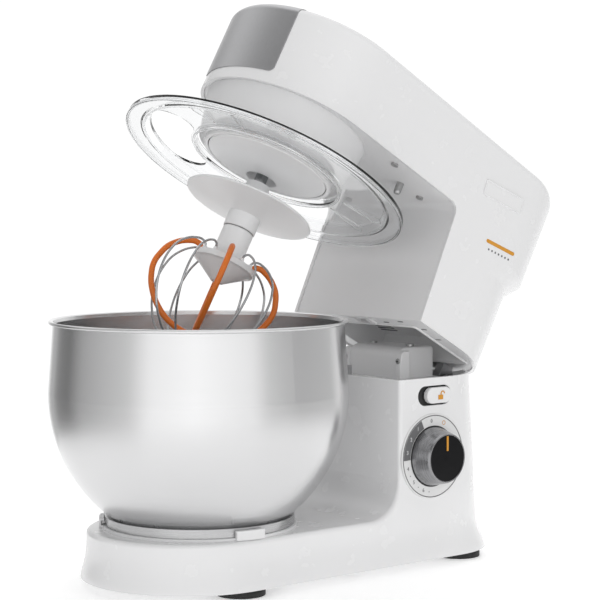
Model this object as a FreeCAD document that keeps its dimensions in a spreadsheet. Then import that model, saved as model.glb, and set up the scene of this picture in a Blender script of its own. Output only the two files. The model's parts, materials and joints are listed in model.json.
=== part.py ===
import FreeCAD, Part
import math
import os
import Sketcher

V = FreeCAD.Vector

# ---------------------------------------------------------------------------
# Driving dimensions, in millimetres.  Head parts are drawn with the head down
# and tilted open by their placement.  The bowl's axis is X = Y = 0 while the
# parts are drawn, the floor is Z = 0, and the front of the mixer faces -Y.
# ---------------------------------------------------------------------------
DRIVING = [
    ("origin_back", 110.6),       # from the bowl's axis back to the row origin
    ("tilt_open", 29.1),          # how far the head stands open, degrees
    ("hinge_y", 231.0),
    ("hinge_z", 134.5),
    ("half_width", 76.3),         # half the width of column and head
    ("wall", 2.6),
    ("foot_height", 6.5),
    ("foot_radius", 18.0),
    ("base_top", 42.2),
    ("base_front_centre", -10.0),
    ("base_flare", 4.7),
    ("base_rear", 254.3),
    ("rear_corner", 60.0),
    ("column_front", 134.6),
    ("column_top", 148.1),
    ("column_fillet", 28.0),
    ("hump_top", 168.0),
    ("floor_low", 151.0),         # underside of the neck floor
    ("pocket_top", 171.0),        # hollow in the neck floor that takes the hump
    ("seat_top", 44.3),
    ("seat_radius", 73.0),
    ("ring_radius", 71.2),
    ("bowl_rim", 112.0),
    ("bowl_top", 197.0),
    ("bowl_sheet", 1.0),
    ("head_low", 246.4),
    ("head_top", 312.0),
    ("head_nose_centre", 7.0),
    ("neck_low", 149.1),
    ("neck_rear", 243.8),
    ("head_rear", 257.5),
    ("hub_radius", 48.4),
    ("hub_low", 207.9),
    ("tool_offset", 32.0),
    ("tool_bearing", 145.8),      # direction of the tool shaft round the hub, degrees
    ("guard_radius", 113.7),
    ("guard_low", 203.1),
    ("shield_radius", 52.0),
    ("shield_rim", 182.7),
    ("sleeve_radius", 13.0),
    ("sleeve_low", 161.7),
    ("whisk_neck_radius", 12.4),
    ("flange_radius", 24.5),
    ("flange_top", 135.2),
    ("knob_y", 168.7),
    ("knob_z", 86.9),
    ("knob_radius", 23.0),
    ("knob_tip_radius", 19.2),
    ("knob_reach", 93.6),
    ("dial_radius", 33.2),
    ("slider_y", 175.0),
    ("slider_z", 134.2),
    ("slider_length", 26.0),
    ("slider_height", 12.5),
    ("motor_y", 192.0),
    ("layshaft_y", 53.75),
    ("gear_module", 1.25),
    ("main_gear_teeth", 72),
    ("pinion_teeth", 14),
    ("planet_module", 1.0),
    ("ring_gear_teeth", 88),
    ("planet_gear_teeth", 24),
    ("large_pulley_radius", 38.0),
    ("motor_pulley_radius", 9.0),
    ("belt_gap", 0.35),
    ("pin_radius", 4.0),
]

doc = FreeCAD.newDocument("stand_mixer")
sheet = doc.addObject("Spreadsheet::Sheet", "Dims")
for row, (alias, value) in enumerate(DRIVING, start=1):
    sheet.set("A%d" % row, alias)
    sheet.set("B%d" % row, str(value))
    sheet.setAlias("B%d" % row, alias)
doc.recompute()


class Dim:
    """A length that knows its value and the sheet expression it comes from."""

    def __init__(self, value, text):
        self.value = float(value)
        self.text = text

    def _with(self, other, sign, swap=False):
        other = as_dim(other)
        left, right = (other, self) if swap else (self, other)
        numbers = {"+": left.value + right.value, "-": left.value - right.value,
                   "*": left.value * right.value}
        if sign == "/":
            return Dim(left.value / right.value, "(%s / %s)" % (left.text, right.text))
        return Dim(numbers[sign], "(%s %s %s)" % (left.text, sign, right.text))

    def __add__(self, other):
        return self._with(other, "+")

    def __radd__(self, other):
        return self._with(other, "+", True)

    def __sub__(self, other):
        return self._with(other, "-")

    def __rsub__(self, other):
        return self._with(other, "-", True)

    def __mul__(self, other):
        return self._with(other, "*")

    def __rmul__(self, other):
        return self._with(other, "*", True)

    def __truediv__(self, other):
        return self._with(other, "/")

    def __neg__(self):
        return Dim(-self.value, "(0 - %s)" % self.text)

    def __float__(self):
        return self.value


def as_dim(number):
    return number if isinstance(number, Dim) else Dim(number, "%.6g" % number)


class Sheet:
    """Driving dimensions by name: S.half_width is a Dim bound to its cell."""

    def __getattr__(self, alias):
        return Dim(float(sheet.get(alias)), "Dims.%s" % alias)


S = Sheet()


def num(dim):
    return float(dim)


# ---------------------------------------------------------------------------
# Placements of the two rest groups
# ---------------------------------------------------------------------------
BACK = FreeCAD.Placement(V(0, -num(S.origin_back), 0), FreeCAD.Rotation())
HINGE = V(0, num(S.hinge_y), num(S.hinge_z))
OPEN = FreeCAD.Placement(V(0, 0, 0), FreeCAD.Rotation(V(1, 0, 0), -num(S.tilt_open)), HINGE)
STAND = BACK
HEAD = BACK.multiply(OPEN)

parts = []


def finish_part(obj, name, group, local=None):
    """Give a finished sub-part its name and its place in the standing or the tilted group."""
    if obj.TypeId in ("Part::Box", "Part::Cylinder"):
        obj = group_solids(name + "_set", [obj])
    obj.Label = name
    obj.Placement = group.multiply(local or FreeCAD.Placement()).multiply(obj.Placement)
    parts.append((name, obj))
    return obj


def at(x, y, z, axis=None, angle=0):
    rotation = FreeCAD.Rotation(axis, angle) if axis else FreeCAD.Rotation()
    return FreeCAD.Placement(V(num(x), num(y), num(z)), rotation)


# ---------------------------------------------------------------------------
# Small builders
# ---------------------------------------------------------------------------
def bind(obj, prop, dim):
    """Set a property to a number, or tie it to the sheet."""
    if isinstance(dim, Dim):
        obj.setExpression(prop, dim.text)
    else:
        setattr(obj, prop, dim)


def bind_place(obj, x, y, z, rotation=None):
    obj.Placement = FreeCAD.Placement(V(num(x), num(y), num(z)), rotation or FreeCAD.Rotation())
    for axis, dim in (("x", x), ("y", y), ("z", z)):
        if isinstance(dim, Dim):
            obj.setExpression("Placement.Base.%s" % axis, dim.text)


def cylinder(name, radius, height, x=0, y=0, z=0, rotation=None):
    obj = doc.addObject("Part::Cylinder", name)
    bind(obj, "Radius", radius)
    bind(obj, "Height", height)
    bind_place(obj, x, y, z, rotation)
    return obj


def cone(name, low_radius, high_radius, height, x=0, y=0, z=0, rotation=None):
    obj = doc.addObject("Part::Cone", name)
    bind(obj, "Radius1", low_radius)
    bind(obj, "Radius2", high_radius)
    bind(obj, "Height", height)
    bind_place(obj, x, y, z, rotation)
    return obj


def block(name, length, width, height, x=0, y=0, z=0):
    """A box centred on x and y, standing on z."""
    obj = doc.addObject("Part::Box", name)
    bind(obj, "Length", length)
    bind(obj, "Width", width)
    bind(obj, "Height", height)
    bind_place(obj, x - length / 2, y - width / 2, z)
    return obj


def join(name, pieces):
    obj = doc.addObject("Part::MultiFuse", name)
    obj.Shapes = pieces
    return obj


def cut(name, base, tool):
    obj = doc.addObject("Part::Cut", name)
    obj.Base = base
    obj.Tool = tool
    return obj


def group_solids(name, pieces):
    obj = doc.addObject("Part::Compound", name)
    obj.Links = pieces
    return obj


def tube(name, outer, inner, height, x=0, y=0, z=0):
    return cut(name, cylinder(name + "_outer", outer, height, x, y, z),
               cylinder(name + "_bore", inner, height + 2, x, y, z - 1))


def shape_feature(name, shape):
    obj = doc.addObject("Part::Feature", name)
    obj.Shape = shape
    return obj


def plane_of(body, role):
    return [item for item in body.Origin.OriginFeatures if item.Role == role][0]


def bound_sketch(body, name, role, outline):
    """A closed polygon sketch whose corners are dimensioned from the body's origin."""
    sketch = body.newObject("Sketcher::SketchObject", name)
    sketch.AttachmentSupport = (plane_of(body, role), [""])
    sketch.MapMode = "FlatFace"
    count = len(outline)
    points = [V(num(x), num(y), 0) for x, y in outline]
    for i in range(count):
        sketch.addGeometry(Part.LineSegment(points[i], points[(i + 1) % count]), False)
    for i in range(count):
        sketch.addConstraint(Sketcher.Constraint("Coincident", i, 2, (i + 1) % count, 1))
    for i, corner in enumerate(outline):
        for kind, dim, axis in (("DistanceX", corner[0], -2), ("DistanceY", corner[1], -1)):
            if abs(num(dim)) < 1e-9:
                sketch.addConstraint(Sketcher.Constraint("PointOnObject", i, 1, axis))
                continue
            index = sketch.addConstraint(Sketcher.Constraint(kind, -1, 1, i, 1, num(dim)))
            if isinstance(dim, Dim):
                sketch.renameConstraint(index, "corner%d%s" % (i, kind[-1]))
                sketch.setExpression("Constraints.corner%d%s" % (i, kind[-1]), dim.text)
    return sketch


def turned(name, outline):
    """A body revolved about its own Z axis from an outline of (radius, height) corners."""
    body = doc.addObject("PartDesign::Body", name)
    sketch = bound_sketch(body, name + "_profile", "XZ_Plane", outline)
    revolution = body.newObject("PartDesign::Revolution", name + "_turn")
    revolution.Profile = sketch
    revolution.ReferenceAxis = (sketch, ["V_Axis"])
    revolution.Angle = 360
    sketch.Visibility = False
    return body


def padded(name, outline, height):
    """A body padded up from the XY plane."""
    body = doc.addObject("PartDesign::Body", name)
    sketch = bound_sketch(body, name + "_profile", "XY_Plane", outline)
    pad = body.newObject("PartDesign::Pad", name + "_pad")
    pad.Profile = sketch
    bind(pad, "Length", height)
    return body


ALONG_X = FreeCAD.Rotation(V(0, 1, 0), 90)
ALONG_Y = FreeCAD.Rotation(V(1, 0, 0), -90)


# ---------------------------------------------------------------------------
# Outer forms of the housings
# ---------------------------------------------------------------------------
def plan_wire(z, half_width, front_centre, rear, corner):
    """Plan outline: round nose, straight sides, rounded rear corners."""
    side = rear - corner
    diagonal = corner * math.sqrt(0.5)
    inner = half_width - corner
    points = {
        "right_front": V(half_width, front_centre, z),
        "nose": V(0, front_centre - half_width, z),
        "left_front": V(-half_width, front_centre, z),
        "left_side": V(-half_width, side, z),
        "left_mid": V(-inner - diagonal, side + diagonal, z),
        "left_rear": V(-inner, rear, z),
        "right_rear": V(inner, rear, z),
        "right_mid": V(inner + diagonal, side + diagonal, z),
        "right_side": V(half_width, side, z),
    }
    edges = [
        Part.Arc(points["right_front"], points["nose"], points["left_front"]).toShape(),
        Part.makeLine(points["left_front"], points["left_side"]),
        Part.Arc(points["left_side"], points["left_mid"], points["left_rear"]).toShape(),
        Part.makeLine(points["left_rear"], points["right_rear"]),
        Part.Arc(points["right_rear"], points["right_mid"], points["right_side"]).toShape(),
        Part.makeLine(points["right_side"], points["right_front"]),
    ]
    return Part.Wire(edges)


def side_prism(corners, half_span=150):
    """A prism across the mixer from a closed side outline.

    A corner is (y, z), or (y, z, radius) where it is rounded.
    """
    count = len(corners)
    runs = []
    for i, corner in enumerate(corners):
        here = V(0, corner[0], corner[1])
        if len(corner) == 2:
            runs.append((here, here, here))
            continue
        back = V(0, corners[i - 1][0], corners[i - 1][1]) - here
        ahead = V(0, corners[(i + 1) % count][0], corners[(i + 1) % count][1]) - here
        back.normalize()
        ahead.normalize()
        half = back.getAngle(ahead) / 2
        reach = corner[2] / math.tan(half)
        bisector = back + ahead
        bisector.normalize()
        middle = here + bisector * (corner[2] / math.sin(half) - corner[2])
        runs.append((here + back * reach, middle, here + ahead * reach))
    edges = []
    for i, (start, middle, end) in enumerate(runs):
        if (end - start).Length > 1e-6:
            edges.append(Part.Arc(start, middle, end).toShape())
        following = runs[(i + 1) % count][0]
        if (following - end).Length > 1e-6:
            edges.append(Part.makeLine(end, following))
    face = Part.Face(Part.Wire(edges))
    face.translate(V(-half_span, 0, 0))
    return face.extrude(V(2 * half_span, 0, 0))


def base_form(inset):
    """The base and column as one solid, inset from the outer skin: a flared foot, then a straight taper."""
    foot, top = num(S.foot_height), num(S.column_top)
    fade, lean = 13.0, 10.5

    def plan(rise):
        flare = num(S.base_flare) * math.exp(-(rise / fade) ** 1.6)
        rear = num(S.base_rear) + flare - lean * rise / (top - foot)
        return plan_wire(foot + rise, num(S.half_width) + flare - inset, num(S.base_front_centre),
                         rear - inset, num(S.rear_corner) - inset)

    join_rise = 44
    flared = Part.makeLoft([plan(rise) for rise in (0, 4.5, 10, 17, 26, 35, join_rise)], True, False)
    tapered = Part.makeLoft([plan(join_rise), plan(top - foot)], True, True)
    column_front, base_top = num(S.column_front), num(S.base_top)
    notch = side_prism([(-300, base_top - inset), (column_front + inset, base_top - inset,
                        num(S.column_fillet)), (column_front + inset, 400), (-300, 400)])
    return flared.fuse(tapered).cut(notch)


def edges_at(shape, test):
    return [edge for edge in shape.Edges if test(edge)]


def on_height(z, y_limit=None):
    def test(edge):
        box = edge.BoundBox
        level = abs(box.ZMin - z) < 0.01 and abs(box.ZMax - z) < 0.01
        return level and (y_limit is None or box.YMax < y_limit)
    return test


def stadium(length, height, depth, x, y, z):
    """A long round-ended block through the side wall."""
    radius = height / 2
    straight = length - height
    body = Part.makeBox(depth, straight, height, V(x, y - straight / 2, z - radius))
    for end in (-1, 1):
        body = body.fuse(Part.makeCylinder(radius, depth, V(x, y + end * straight / 2, z), V(1, 0, 0)))
    return body.removeSplitter()


FOOT_PLACES = [(-58, -6), (58, -6), (-56, 217), (56, 217)]
SCREW_PLACES = [(-62, 24), (62, 24), (-62, 96), (62, 96)]
COVER_SCREWS = [(-22, 196), (22, 196)]
UNDERSIDE_SCREWS = [(-42, 118), (42, 118), (-62, 66), (62, 66)]
GROMMET = (-12, 21)
SLOT_Y = 171.2


def drill(shape, radius, depth, start, axis):
    return shape.cut(Part.makeCylinder(radius, depth, start, axis))


def make_base_housing():
    inset, side, top = num(S.wall), num(S.half_width), num(S.column_top)
    outer = base_form(0)
    rim = edges_at(outer, on_height(num(S.base_top), num(S.column_front) - 5))
    outer = outer.makeFillet(3.2, rim)
    shell = outer.cut(base_form(inset))
    # the column's rear edge slopes away so that the neck can swing down behind it
    rear = num(S.neck_rear)
    shell = shell.cut(side_prism([(rear - 9.3, top + 0.1), (rear + 30, top + 0.1), (rear + 30, top - 20.4)]))
    shell = drill(shell, 7, 20, V(side - 10, num(S.knob_y), num(S.knob_z)), V(1, 0, 0))
    shell = shell.cut(stadium(35.5, 15.4, 20, side - 10, SLOT_Y, num(S.slider_z)))
    shell = drill(shell, 6.2, 30, V(GROMMET[0], 240, GROMMET[1]), V(0, 1, 0))
    shell = drill(shell, 8.8, 30, V(GROMMET[0], 254.8, GROMMET[1]), V(0, 1, 0))
    for x, y in SCREW_PLACES:
        boss = Part.makeCylinder(4, num(S.base_top) - inset - 9.1, V(x, y, 9.2))
        shell = drill(shell.fuse(boss), 1.55, 14, V(x, y, 9.1), V(0, 0, 1))
    finish_part(shape_feature("base_housing", shell.removeSplitter()), "base_housing", STAND)


def make_base_plate():
    inset = num(S.wall) + 0.9
    low = plan_wire(num(S.foot_height), num(S.half_width) + num(S.base_flare) - inset,
                    num(S.base_front_centre), num(S.base_rear) + num(S.base_flare) - inset,
                    num(S.rear_corner) - inset)
    plate = Part.Face(low).extrude(V(0, 0, 2.4))
    for x, y in SCREW_PLACES:
        plate = drill(plate, 1.7, 10, V(x, y, 0), V(0, 0, 1))
    # air slots under the column
    for index in range(7):
        plate = plate.cut(Part.makeBox(44, 3, 10, V(-22, 150 + 8 * index, 0)))
    finish_part(shape_feature("base_plate", plate), "base_plate", STAND)


def make_feet():
    feet = []
    for index, (x, y) in enumerate(FOOT_PLACES):
        low = cylinder("foot_sole_%d" % index, S.foot_radius, S.foot_height * 0.55, x, y, 0)
        high = cone("foot_top_%d" % index, S.foot_radius, S.foot_radius - 2, S.foot_height * 0.45,
                    x, y, S.foot_height * 0.55)
        feet.append(join("foot_%d" % index, [low, high]))
    finish_part(group_solids("rubber_feet", feet), "rubber_feet", STAND)


def make_base_screws():
    screws = []
    for index, (x, y) in enumerate(SCREW_PLACES):
        head = cylinder("base_screw_head_%d" % index, 3.2, 1.6, x, y, S.foot_height - 1.6)
        shank = cylinder("base_screw_shank_%d" % index, 1.45, 12, x, y, S.foot_height - 1)
        screws.append(join("base_screw_%d" % index, [head, shank]))
    finish_part(group_solids("base_screws", screws), "base_screws", STAND)


CLAW_ANGLES = [-7, 113, 233]


def ring_sector(inner, outer, low, high, start, sweep):
    """A block bent round the Z axis, from start through sweep degrees."""
    profile = Part.makePolygon([V(inner, 0, low), V(outer, 0, low), V(outer, 0, high),
                                V(inner, 0, high), V(inner, 0, low)])
    solid = Part.Face(profile).revolve(V(0, 0, 0), V(0, 0, 1), sweep)
    solid.rotate(V(0, 0, 0), V(0, 0, 1), start)
    return solid


def make_bowl_seat():
    top, radius = num(S.seat_top), num(S.seat_radius)
    plate = Part.makeCylinder(radius, top - num(S.base_top), V(0, 0, num(S.base_top)))
    dish = Part.makeCylinder(radius - 11, 1.2, V(0, 0, top - 1.2))
    plate = plate.cut(dish)
    for angle in CLAW_ANGLES:
        post = ring_sector(radius + 1.2, radius + 2.4, num(S.base_top) + 0.2, top + 5.2, angle - 9, 18)
        shelf = ring_sector(radius - 1.3, radius + 1.4, top + 3.4, top + 5.2, angle - 9, 18)
        foot = ring_sector(radius - 2, radius + 1.4, num(S.base_top) + 0.2, top, angle - 9, 18)
        stop = ring_sector(radius - 1.3, radius + 1.4, top - 0.1, top + 3.5, angle - 9, 2)
        plate = plate.fuse([post, shelf, foot, stop])
    finish_part(shape_feature("bowl_seat", plate.removeSplitter()), "bowl_seat", STAND)


def make_cord_grommet():
    x, z = GROMMET
    flange = cylinder("grommet_flange", 8.5, 2, x, 254.9, z, ALONG_Y)
    barrel = cylinder("grommet_barrel", 6, 8, x, 249, z, ALONG_Y)
    bore = cylinder("grommet_bore", 3.6, 20, x, 244, z, ALONG_Y)
    finish_part(cut("cord_grommet", join("grommet_solid", [flange, barrel]), bore), "cord_grommet", STAND)


# ---------------------------------------------------------------------------
# Speed control
# ---------------------------------------------------------------------------
def make_speed_control():
    place = at(S.half_width, S.knob_y, S.knob_z, V(0, 1, 0), 90)
    # seen from the side, the parts' own Z axis points out of the column
    dial = turned("dial_ring", [(9, 0.03), (S.dial_radius, 0.03), (S.dial_radius, 0.9),
                                (S.dial_radius - 0.7, 1.3), (9, 1.3)])
    finish_part(dial, "dial_ring", STAND, place)
    reach = S.knob_reach - S.half_width
    knob = turned("speed_knob", [(3.1, 6), (6, 6), (6, reach - 4), (S.knob_tip_radius - 2.6, reach - 4),
                                 (S.knob_radius - 2.4, 1.7), (S.knob_radius, 1.7),
                                 (S.knob_tip_radius + 0.4, reach - 1.4), (S.knob_tip_radius - 0.4, reach),
                                 (S.knob_tip_radius - 1.2, reach), (S.knob_tip_radius - 1.3, reach - 1.2),
                                 (3.1, reach - 1.2)])
    finish_part(knob, "speed_knob", STAND, place)
    face = turned("knob_face", [(0, reach - 1.2), (S.knob_tip_radius - 1.35, reach - 1.2),
                                (S.knob_tip_radius - 1.35, reach - 0.5), (0, reach - 0.3)])
    finish_part(face, "knob_face", STAND, place)
    pointer = block("knob_pointer", 0.5, 1.8, 11.5, S.knob_reach - 0.08, S.knob_y, S.knob_z + 5.8)
    finish_part(pointer, "knob_pointer", STAND)
    shaft = cylinder("switch_shaft", 3, reach + 18.6, S.half_width - 20, S.knob_y, S.knob_z, ALONG_X)
    finish_part(shaft, "switch_shaft", STAND)
    case = block("switch_case", 16, 30, 30, S.half_width - 16, S.knob_y, S.knob_z - 15)
    bush = cylinder("switch_bush", 6, 8, S.half_width - 8.2, S.knob_y, S.knob_z, ALONG_X)
    bore = cylinder("switch_bore", 3.08, 40, S.half_width - 30, S.knob_y, S.knob_z, ALONG_X)
    finish_part(cut("rotary_switch", join("switch_solid", [case, bush]), bore), "rotary_switch", STAND)
    board = block("board_sheet", 1.6, 60, 46, 44, 172, 52)
    relay = block("board_relay", 14, 16, 16, 36.2, 156, 58)
    choke = cylinder("board_choke", 7, 14, 37, 184, 56)
    sink = block("board_sink", 10, 30, 20, 38.2, 178, 74)
    finish_part(join("control_board", [board, relay, choke, sink]), "control_board", STAND)


def make_lock():
    x, y, z = num(S.half_width), num(S.slider_y), num(S.slider_z)
    slider = stadium(num(S.slider_length), num(S.slider_height), 4.1, x - 2.3, y, z)
    slider = slider.makeFillet(0.9, edges_at(slider, lambda edge: abs(edge.BoundBox.XMin - x - 1.8) < 0.01))
    stem = Part.makeBox(8, 3, 4, V(x - 9.8, y - 1.5, z - 2))
    finish_part(shape_feature("lock_slider", slider.fuse(stem).removeSplitter()), "lock_slider", STAND)
    # open padlock: a small body with its shackle swung to one side
    face = x + 1.8
    body = Part.makeBox(0.3, 5, 3.6, V(face, y - 1.5, z - 3.3))
    bow = Part.makeCylinder(2.3, 0.3, V(face, y + 3.2, z + 1.2), V(1, 0, 0))
    bow = bow.cut(Part.makeCylinder(1.4, 2, V(face - 1, y + 3.2, z + 1.2), V(1, 0, 0)))
    bow = bow.cut(Part.makeBox(2, 6, 3, V(face - 1, y + 0.2, z - 1.8)))
    leg = Part.makeBox(0.3, 0.9, 1.2, V(face, y + 0.9, z + 0.2))
    finish_part(shape_feature("lock_icon", body.fuse([bow, leg]).removeSplitter()), "lock_icon", STAND)
    tray = stadium(44, 21, 3, x - 6.1, SLOT_Y, z)
    tray = tray.cut(Part.makeBox(10, 18, 6, V(x - 9, y - 12.5, z - 3)))
    finish_part(shape_feature("slider_track", tray), "slider_track", STAND)
    stalk = Part.makeBox(8, 3, 42, V(-4, 146, 112))
    nose = Part.makeBox(8, 2.2, 2.2, V(-4, 143.9, 151.8))
    bar = Part.makeBox(66, 6, 6, V(-4, 146, 112))
    finish_part(shape_feature("latch_hook", stalk.fuse([nose, bar]).removeSplitter()), "latch_hook", STAND)
    guide = block("latch_guide", 60, 20, 5.6, 0, 147.4, 106)
    finish_part(guide, "latch_guide", STAND)


# ---------------------------------------------------------------------------
# Hinge
# ---------------------------------------------------------------------------
def make_hinge():
    y, z = num(S.hinge_y), num(S.hinge_z)
    ears = []
    for side in (-1, 1):
        ear = side_prism([(y - 9, z - 32), (y + 7, z - 32), (y + 7, z + 9, 7.9), (y - 9, z + 9, 7.9)], 2.5)
        ear.translate(V(side * 32, 0, 0))
        ears.append(ear)
    bridge = Part.makeBox(69, 58, 4, V(-34.5, y - 51, z - 32))
    beam = Part.makeBox(147, 20, 4, V(-73.5, y - 66, z - 32))
    bracket = ears[0].fuse([ears[1], bridge, beam])
    bracket = drill(bracket, num(S.pin_radius) + 0.02, 100, V(-50, y, z), V(1, 0, 0))
    finish_part(shape_feature("hinge_bracket", bracket.removeSplitter()), "hinge_bracket", STAND)
    pin = cylinder("hinge_pin", S.pin_radius, 72, -36, S.hinge_y, S.hinge_z, ALONG_X)
    finish_part(pin, "hinge_pin", STAND)
    # close torsion coil round the pin, between the arm's two cheeks: its turns touch
    turns = [Part.makeTorus(6.6, 0.95, V(-11.2 + 1.6 * index, y, z), V(1, 0, 0)) for index in range(15)]
    coil = turns[0].fuse(turns[1:])
    finish_part(shape_feature("tilt_spring", coil), "tilt_spring", STAND)


def make_hinge_cover():
    """Deck that closes the column's top, with a hump over the hinge spring."""
    top, gauge = num(S.hump_top), 2.4
    deck = base_form(num(S.wall) + 0.3).common(Part.makeBox(200, 200, gauge, V(-100, 120, 140.8)))
    hump = side_prism([(176, 141), (176, top, 9), (215, top, 3), (215, 141)], 30)
    edges = edges_at(hump, lambda edge: edge.BoundBox.XLength < 0.01 and edge.BoundBox.ZMax > 150)
    hump = hump.makeFillet(2, edges)
    hollow = side_prism([(178.4, 139), (178.4, top - gauge, 7), (212.6, top - gauge), (212.6, 139)], 27.6)
    cover = deck.fuse(hump).cut(hollow)
    cover = cover.cut(Part.makeBox(12, 10, 20, V(-6, 142, 135)))
    cover = cover.cut(Part.makeBox(76, 40, 20, V(-38, 217.5, 135)))
    cover = cover.cut(Part.makeBox(8, 50, 10, V(69.8, 146, 138)))
    for x, y in COVER_SCREWS:
        cover = drill(cover, 1.7, 20, V(x, y, top - 10), V(0, 0, 1))
    finish_part(shape_feature("hinge_cover", cover.removeSplitter()), "hinge_cover", STAND)
    screws = []
    for index, (x, y) in enumerate(COVER_SCREWS):
        head = cylinder("cover_screw_head_%d" % index, 3.4, 1.6, x, y, S.hump_top)
        shank = cylinder("cover_screw_shank_%d" % index, 1.5, 10, x, y, S.hump_top - 9)
        screws.append(join("cover_screw_%d" % index, [head, shank]))
    finish_part(group_solids("cover_screws", screws), "cover_screws", STAND)


def make_hinge_arm():
    y, z, low = num(S.hinge_y), num(S.hinge_z), num(S.floor_low)
    cheeks = []
    for side in (-1, 1):
        cheek = side_prism([(y - 8.9, z), (y + 8.9, z), (y + 2, low), (y - 9, low)], 4)
        cheek = cheek.fuse(Part.makeCylinder(8.9, 8, V(-4, y, z), V(1, 0, 0)))
        cheek = drill(cheek, num(S.pin_radius) + 0.06, 100, V(-50, y, z), V(1, 0, 0))
        cheek.translate(V(side * 22, 0, 0))
        cheeks.append(cheek)
    tie = Part.makeBox(52, 11, 1.4, V(-26, y - 9, low - 1.4))
    arm = cheeks[0].fuse([cheeks[1], tie])
    finish_part(shape_feature("hinge_arm", arm.removeSplitter()), "hinge_arm", HEAD)


# ---------------------------------------------------------------------------
# Bowl
# ---------------------------------------------------------------------------
def bowl_profile():
    """Outline of the sheet in the XZ plane: outside up, round the rim, and back down inside."""
    sheet_gauge = num(S.bowl_sheet)
    rim, top = num(S.bowl_rim), num(S.bowl_top)
    centre = V(-5.8, 0, 143)
    low = 54.0

    def on_arc(radius, z):
        return V(centre.x + math.sqrt(radius ** 2 - (z - centre.z) ** 2), 0, z)

    def arc(radius, z_from, z_to):
        return Part.Arc(on_arc(radius, z_from), on_arc(radius, (z_from + z_to) / 2),
                        on_arc(radius, z_to)).toShape()

    outer, inner = 118.2, 118.2 - sheet_gauge
    outer_low, outer_side = on_arc(outer, low), on_arc(outer, centre.z)
    inner_low, inner_side = on_arc(inner, low + 0.7), on_arc(inner, centre.z)
    neck = V(rim - 3.2, 0, top - 3.2)
    neck_in = V(rim - 3.2 - sheet_gauge, 0, top - 3.2)
    lip = [V(rim - 0.5, 0, top - 2.4), V(rim, 0, top - 1.2), V(rim - 0.9, 0, top)]
    lip_in = V(rim - 2.6 - sheet_gauge, 0, top - 0.6)
    floor_out, floor_in = V(outer_low.x - 4, 0, 51), V(outer_low.x - 4.4, 0, 51 + sheet_gauge)
    edges = [
        Part.makeLine(V(0, 0, 51), floor_out),
        Part.makeLine(floor_out, outer_low),
        arc(outer, low, centre.z),
        Part.makeLine(outer_side, neck),
        Part.makeLine(neck, lip[0]),
        Part.Arc(*lip).toShape(),
        Part.makeLine(lip[2], lip_in),
        Part.makeLine(lip_in, neck_in),
        Part.makeLine(neck_in, inner_side),
        arc(inner, centre.z, low + 0.7),
        Part.makeLine(inner_low, floor_in),
        Part.makeLine(floor_in, V(0, 0, 51 + sheet_gauge)),
        Part.makeLine(V(0, 0, 51 + sheet_gauge), V(0, 0, 51)),
    ]
    return Part.Face(Part.Wire(edges))


def make_bowl():
    solid = bowl_profile().revolve(V(0, 0, 0), V(0, 0, 1), 360)
    finish_part(shape_feature("bowl", solid), "bowl", STAND)
    radius, low = num(S.ring_radius), num(S.seat_top)
    ring = ring_sector(radius - 1.2, radius, low + 0.05, 51, 0, 360)
    ring = ring.fuse(ring_sector(radius - 5.5, radius - 1.2, 49.6, 51, 0, 360))
    for angle in CLAW_ANGLES:
        ring = ring.fuse(ring_sector(radius - 0.3, radius + 2.4, low + 0.4, low + 2.6, angle - 6, 12))
    finish_part(shape_feature("bowl_foot_ring", ring.removeSplitter()), "bowl_foot_ring", STAND)


# ---------------------------------------------------------------------------
# Head
# ---------------------------------------------------------------------------
def head_block(inset, low, top):
    """Plan form of the head between two heights: the rear steps out above the neck."""
    def plan(z, rear):
        return plan_wire(z, num(S.half_width) - inset, num(S.head_nose_centre), num(rear) - inset,
                         num(S.rear_corner) - inset)

    block_low = Part.Face(plan(low, S.neck_rear)).extrude(V(0, 0, 217 - low))
    step = Part.makeLoft([plan(217, S.neck_rear), plan(232, S.head_rear)], True, True)
    block_high = Part.Face(plan(232, S.head_rear)).extrude(V(0, 0, top - 232))
    return block_low.fuse([step, block_high]).removeSplitter()


def head_form(inset):
    """The closed head with a sharp crown, inset from its skin."""
    top, low, neck = num(S.head_top) - inset, num(S.head_low) + inset, num(S.neck_low)
    side = side_prism([(-120, low), (129 + inset, low, 8), (137.2 + inset, neck), (300, neck),
                       (300, top), (-120, top)])
    return head_block(inset, neck, top).common(side)


def rounded_crown(name, form, top, side_radius, rear_radius):
    """Round the crown: a small radius along nose and sides that grows toward the rear."""
    base = shape_feature(name + "_form", form)
    corner_start = num(S.head_rear) - num(S.rear_corner) + 1
    radii = []
    for index, edge in enumerate(form.Edges, start=1):
        if on_height(top)(edge):
            ends = [edge.valueAt(edge.FirstParameter).y, edge.valueAt(edge.LastParameter).y]
            sizes = [side_radius if y < corner_start else rear_radius for y in ends]
            radii.append((index, sizes[0], sizes[1]))
    rounded = doc.addObject("Part::Fillet", name)
    rounded.Base = base
    rounded.Edges = radii
    return rounded


def make_head_shell():
    top, inset = num(S.head_top), num(S.wall)
    outer = rounded_crown("head_skin", head_form(0), top, 5.0, 19.0)
    inner = rounded_crown("head_hollow", head_block(inset, 100, top - inset), top - inset, 2.6, 17.0)
    finish_part(cut("head_shell", outer, inner), "head_shell", HEAD)
    # silver panel wrapped round the nose, up to the crown's rounding
    proud = 0.6
    skin = rounded_crown("panel_skin", head_form(-proud), top + proud, 5.0 + proud, 19.0)
    window = Part.makeBox(82, 72, 80, V(-41, -120, 255.5))
    corners = edges_at(window, lambda edge: edge.BoundBox.YLength > 50 and edge.BoundBox.ZMax < 260)
    blank = doc.addObject("Part::MultiCommon", "panel_blank")
    blank.Shapes = [skin, shape_feature("panel_window", window.makeFillet(4, corners))]
    behind = rounded_crown("panel_seat", head_form(0), top, 5.0, 19.0)
    finish_part(cut("front_panel", blank, behind), "front_panel", HEAD)


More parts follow.
